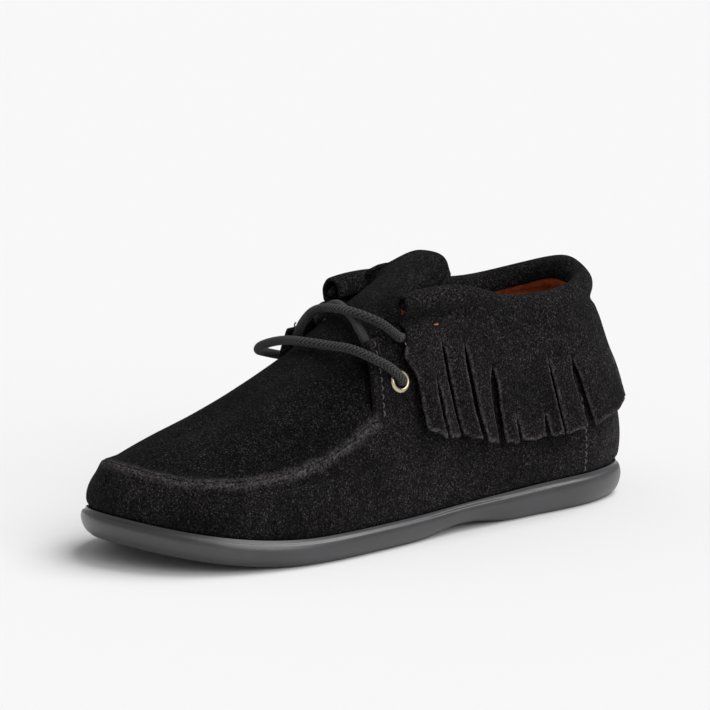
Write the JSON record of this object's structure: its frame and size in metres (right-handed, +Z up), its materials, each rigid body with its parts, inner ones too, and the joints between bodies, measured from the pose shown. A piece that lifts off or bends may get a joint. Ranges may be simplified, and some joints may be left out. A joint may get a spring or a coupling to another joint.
{
  "type": "fringe ankle boot",
  "caption": "Low suede ankle boot with a moccasin toe seam, padded collar roll, cut fringe hanging round the quarters, criss-cross laces and a soft rubber sole.",
  "frame": {"origin": "middle of the bounding box, on the floor under the sole", "axes": "+X towards the toe, +Y to the outer side of a left foot, +Z up"},
  "size_m": [0.2116, 0.0814, 0.09],
  "materials": {
    "sole_rubber": "satin moulded rubber",
    "suede": "matt brushed suede",
    "lining": "smooth matt lining",
    "lace": "braided cord",
    "eyelet": "antique, satin"
  },
  "bodies": {
    "root": {"outsole": "sole_rubber", "insole": "lining", "upper": "suede", "tongue": "suede", "collar": "suede", "fringe": "suede", "lace_bar": "lace", "lace_cross": "lace", "eyelet_outer_lower": "eyelet", "eyelet_outer_upper": "eyelet", "eyelet_inner_lower": "eyelet", "eyelet_inner_upper": "eyelet"}
  },
  "joints": []
}
